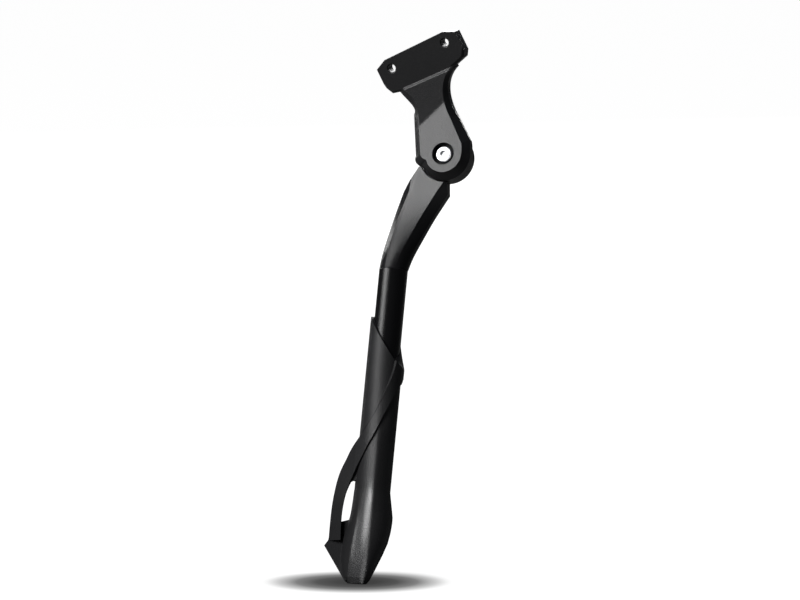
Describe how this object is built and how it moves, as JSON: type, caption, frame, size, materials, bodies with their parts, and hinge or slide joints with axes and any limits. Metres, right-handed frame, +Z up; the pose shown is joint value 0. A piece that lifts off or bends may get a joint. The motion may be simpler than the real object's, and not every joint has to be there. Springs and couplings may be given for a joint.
{
  "type": "bicycle kickstand",
  "caption": "Rear-mount bicycle kickstand: forged head that bolts to the frame, splayed folding leg, and a foot sleeve that slides for height, wrapped by a ribbon that leaves it as a loop.",
  "frame": {"origin": "midway between the two fixing holes, on the back face of the plate", "axes": "+Z up, +X towards the rear of the bicycle, -Y outwards to the side of the stand"},
  "size_m": [0.0645, 0.1274, 0.3401],
  "materials": {
    "black_alloy": "bead-blasted, black anodised",
    "black_tube": "black anodised, semi-gloss",
    "black_nylon": "fine moulded grain",
    "zinc_steel": "bright zinc plated",
    "plain_steel": "turned",
    "dark_steel": "black oxide",
    "spring_steel": "drawn wire",
    "acetal": "natural acetal",
    "brass": "turned"
  },
  "bodies": {
    "head": {"mount_bracket": "black_alloy", "pivot_bolt": "zinc_steel", "pivot_spacer": "plain_steel", "front_thrust_washer": "acetal", "rear_thrust_washer": "acetal", "pivot_washer": "plain_steel", "pivot_nut": "zinc_steel", "detent_spring": "spring_steel"},
    "plunger": {"detent_plunger": "plain_steel"},
    "leg": {"leg_arm": "black_alloy", "rod_tube": "black_tube", "rod_pin": "spring_steel", "rod_end_plug": "black_nylon"},
    "foot": {"foot_sleeve": "black_nylon", "lock_insert": "brass", "lock_screw": "dark_steel", "lock_pad": "acetal"}
  },
  "joints": [
    {"name": "leg_fold", "type": "hinge", "parent": "head", "child": "leg", "pos_m": [0.0204, -0.02095, -0.06065], "axis": [0, -0.9205, 0.3907], "range_deg": [0, 102]},
    {"name": "height_adjust", "type": "slide", "parent": "leg", "child": "foot", "axis": [-0.0286, 0.3906, 0.9201], "range_m": [-0.02, 0.028]},
    {"name": "detent_press", "type": "slide", "parent": "head", "child": "plunger", "axis": [0, 0.9205, -0.3907], "range_m": [0, 0.0009], "stiffness_N_per_m": 2500}
  ]
}
